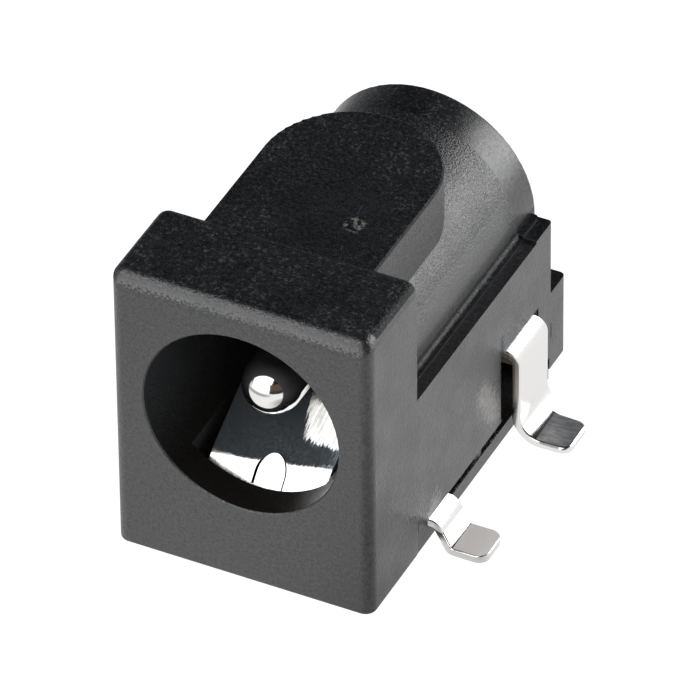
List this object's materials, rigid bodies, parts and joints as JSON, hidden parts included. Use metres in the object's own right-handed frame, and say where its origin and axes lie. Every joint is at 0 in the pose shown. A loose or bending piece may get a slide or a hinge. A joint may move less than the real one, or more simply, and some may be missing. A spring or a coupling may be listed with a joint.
{
  "type": "dc barrel jack",
  "caption": "Surface-mount barrel power socket: square-flanged black housing, centre pin, sprung sleeve contact, plated gull-wing legs and locating posts.",
  "frame": {"origin": "root of the front locating post, where its axis meets the board's surface", "axes": "+Y is the way the plug goes in, from the mouth to the tail; +X is to the right seen from the mouth; +Z points away from the board"},
  "size_m": [0.0134, 0.0144, 0.012],
  "materials": {
    "housing_plastic": "black moulded plastic, fine satin grain",
    "base_plastic": "black moulded plastic, satin",
    "pin_plating": "bright plating over turned brass",
    "contact_plating": "bright tin plating over stamped strip"
  },
  "bodies": {
    "root": {"housing": "housing_plastic", "base_plate": "base_plastic", "centre_pin": "pin_plating", "pin_terminal": "contact_plating", "sleeve_contact": "contact_plating", "switch_contact": "contact_plating"}
  },
  "joints": []
}
